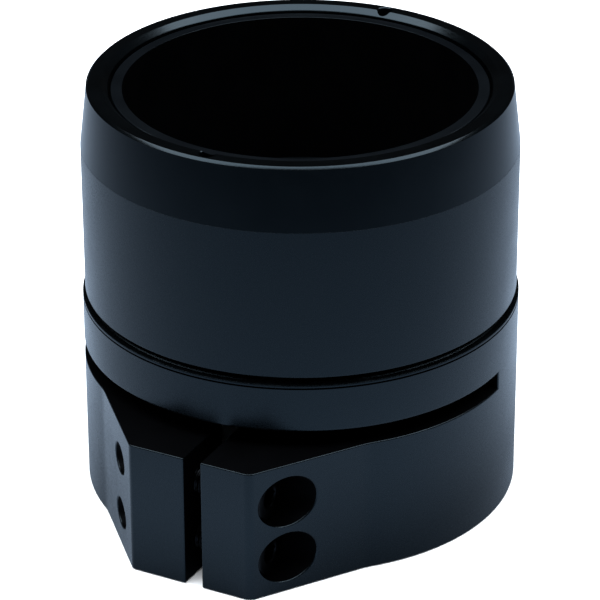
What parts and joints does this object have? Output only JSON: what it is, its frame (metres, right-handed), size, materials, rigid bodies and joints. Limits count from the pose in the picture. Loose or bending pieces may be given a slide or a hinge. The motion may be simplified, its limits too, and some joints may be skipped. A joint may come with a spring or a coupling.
{
  "type": "laser collimator",
  "caption": "Black anodised beam collimator: open guide tube inside a turning focus barrel with a tapered front collar, on a slotted split clamp with side screws.",
  "frame": {"origin": "centre of the clamp bore in the plane of the bottom face", "axes": "+Z along the optical axis towards the open front rim; the split nose of the clamp points to -Y; the clamp screw heads face +X"},
  "size_m": [0.0638, 0.0703, 0.0626],
  "materials": {
    "clamp_body": "matte black anodised",
    "clamp_screw_lower": "black oxide",
    "clamp_screw_upper": "black oxide",
    "guide_tube": "matte black anodised",
    "tube_set_screw": "black oxide",
    "focus_barrel": "matte black anodised",
    "front_collar": "matte black anodised",
    "collar_oring": "nitrile",
    "skirt_oring": "nitrile",
    "snap_ring": "spring steel",
    "wave_washer": "spring steel",
    "upper_glide_ring": "PTFE",
    "lower_glide_ring": "PTFE",
    "lens_cell": "matte black anodised",
    "cell_glide_band_lower": "PTFE",
    "cell_glide_band_upper": "PTFE",
    "cam_pin_a": "turned",
    "cam_pin_b": "turned",
    "cam_pin_c": "turned",
    "lens_flint": "coated optical glass",
    "lens_crown": "coated optical glass",
    "lens_spacer": "matte black anodised",
    "lens_retainer": "matte black anodised"
  },
  "bodies": {
    "clamp": {"clamp_body": "clamp_body", "guide_tube": "guide_tube", "tube_set_screw": "tube_set_screw", "skirt_oring": "skirt_oring", "snap_ring": "snap_ring", "wave_washer": "wave_washer", "upper_glide_ring": "upper_glide_ring", "lower_glide_ring": "lower_glide_ring"},
    "sleeve": {"focus_barrel": "focus_barrel", "front_collar": "front_collar", "collar_oring": "collar_oring"},
    "cell": {"lens_cell": "lens_cell", "cell_glide_band_lower": "cell_glide_band_lower", "cell_glide_band_upper": "cell_glide_band_upper", "cam_pin_a": "cam_pin_a", "cam_pin_b": "cam_pin_b", "cam_pin_c": "cam_pin_c", "lens_flint": "lens_flint", "lens_spacer": "lens_spacer", "lens_crown": "lens_crown", "lens_retainer": "lens_retainer"},
    "screw_lower": {"clamp_screw_lower": "clamp_screw_lower"},
    "screw_upper": {"clamp_screw_upper": "clamp_screw_upper"}
  },
  "joints": [
    {"name": "focus_turn", "type": "hinge", "parent": "clamp", "child": "sleeve", "pos_m": [0, 0, 0.042], "axis": [0, 0, 1], "range_deg": [0, 120]},
    {"name": "cell_slide", "type": "slide", "parent": "clamp", "child": "cell", "axis": [0, 0, 1], "range_m": [0, 0.008]},
    {"name": "screw_turn_lower", "type": "hinge", "parent": "clamp", "child": "screw_lower", "pos_m": [0.0083, -0.0335, 0.0055], "axis": [1, 0, 0], "range_deg": [0, 720]},
    {"name": "screw_turn_upper", "type": "hinge", "parent": "clamp", "child": "screw_upper", "pos_m": [0.0083, -0.0335, 0.01445], "axis": [1, 0, 0], "range_deg": [0, 720]}
  ],
  "couplings": [
    {"joint": "cell_slide", "follows": "focus_turn", "m_per_rad": 0.003819}
  ]
}
